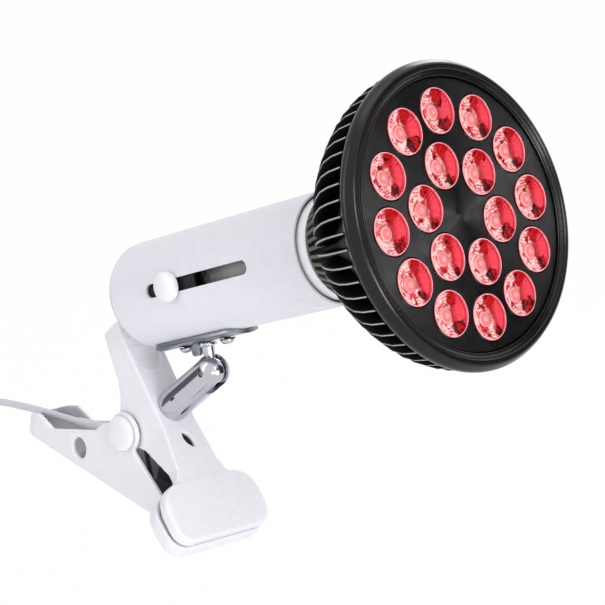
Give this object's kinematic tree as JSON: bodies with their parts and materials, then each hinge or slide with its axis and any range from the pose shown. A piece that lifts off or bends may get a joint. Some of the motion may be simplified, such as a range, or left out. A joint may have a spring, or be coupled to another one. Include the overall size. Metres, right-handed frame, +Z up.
{
  "type": "clip-on red light lamp",
  "caption": "Red light bulb in a white slotted tube shade on a chrome swivel and a sprung plastic clip, with a hanging mains cord, inline switch and coil",
  "frame": {"origin": "the middle of the front jaw pad's gripping face", "axes": "+X is the way the bulb looks, +Z is up, and the lamp is alike on both sides of the XZ plane"},
  "size_m": [0.4139, 0.121, 0.3956],
  "materials": {
    "white_plastic": "glossy moulded white with a slight cool tint",
    "cord_white": "satin white cord jacket",
    "pad_rubber": "matt pale grip pad",
    "white_paint": "satin white powder coat",
    "chrome": "polished chrome plate",
    "steel": "dull zinc-plated steel",
    "dark_spring_steel": "blackened spring wire",
    "brass": "plain brass",
    "black_plastic": "fine matt black",
    "porcelain": "glazed ceramic",
    "black_anodised": "satin black anodised, brushed in circles on the face",
    "led_board": "white solder mask",
    "driver_board": "green board",
    "red_lens": "clear faceted lens, lit red from behind"
  },
  "bodies": {
    "front": {"front_lever": "white_plastic", "front_pad": "pad_rubber", "pivot_pin": "steel", "pivot_cap_near": "white_plastic", "pivot_cap_far": "white_plastic", "torsion_spring": "dark_spring_steel"},
    "rear": {"rear_lever": "white_plastic", "rear_pad": "pad_rubber", "cord_relief": "white_plastic", "cord_lead": "cord_white", "switch_case": "white_plastic", "cord_tail": "cord_white", "cord_coil": "cord_white", "cord_tie": "white_plastic", "plug_body": "white_plastic", "plug_blade_left": "brass", "plug_blade_right": "brass"},
    "swivel": {"swivel_barrel": "chrome", "swivel_bolt": "steel", "knuckle_pin": "steel"},
    "head": {"eye_stud": "chrome", "stud_nut": "steel", "bracket_saddle": "steel", "bracket_screw_rear": "chrome", "bracket_screw_front": "chrome", "shade_tube": "white_paint"},
    "holder": {"socket_body": "black_plastic", "socket_skirt": "porcelain", "socket_shell": "brass", "socket_contact": "brass", "slide_plate": "black_plastic"},
    "knob": {"slide_knob": "white_plastic"},
    "bulb": {"cap_tip": "brass", "cap_insulator": "black_plastic", "cap_shell": "brass", "neck_collar": "white_plastic", "heat_sink": "black_anodised", "bezel_ring": "black_anodised", "face_plate": "black_anodised", "led_board": "led_board", "driver_board": "driver_board", "lens_01": "red_lens", "lens_02": "red_lens", "lens_03": "red_lens", "lens_04": "red_lens", "lens_05": "red_lens", "lens_06": "red_lens", "lens_07": "red_lens", "lens_08": "red_lens", "lens_09": "red_lens", "lens_10": "red_lens", "lens_11": "red_lens", "lens_12": "red_lens", "lens_13": "red_lens", "lens_14": "red_lens", "lens_15": "red_lens", "lens_16": "red_lens", "lens_17": "red_lens", "lens_18": "red_lens"},
    "rocker": {"switch_rocker": "black_plastic"}
  },
  "joints": [
    {"name": "clip_open", "type": "hinge", "parent": "front", "child": "rear", "pos_m": [-0.04494, 0, 0.02874], "axis": [0, 1, 0], "range_deg": [0, 38], "stiffness_Nm_per_rad": 1.2, "springref_deg": -34.38},
    {"name": "swivel_turn", "type": "hinge", "parent": "front", "child": "swivel", "pos_m": [-0.02514, 0, 0.04266], "axis": [0.7986, 0, 0.6018], "range_deg": [-175, 175]},
    {"name": "head_tilt", "type": "hinge", "parent": "swivel", "child": "head", "pos_m": [0.00281, 0, 0.06373], "axis": [0, 1, 0], "range_deg": [-18, 70]},
    {"name": "holder_slide", "type": "slide", "parent": "head", "child": "holder", "axis": [0.9563, 0, 0.2924], "range_m": [-0.0045, 0.047]},
    {"name": "knob_turn", "type": "hinge", "parent": "holder", "child": "knob", "pos_m": [0.00241, -0.0243, 0.10439], "axis": [0, 1, 0], "range_deg": [0, 180]},
    {"name": "bulb_turn", "type": "hinge", "parent": "holder", "child": "bulb", "pos_m": [0.04879, 0, 0.11857], "axis": [0.9563, 0, 0.2924], "continuous": true},
    {"name": "rocker_tip", "type": "hinge", "parent": "rear", "child": "rocker", "pos_m": [-0.18955, 0, -0.0383], "axis": [0, 1, 0], "range_deg": [0, 18]}
  ]
}
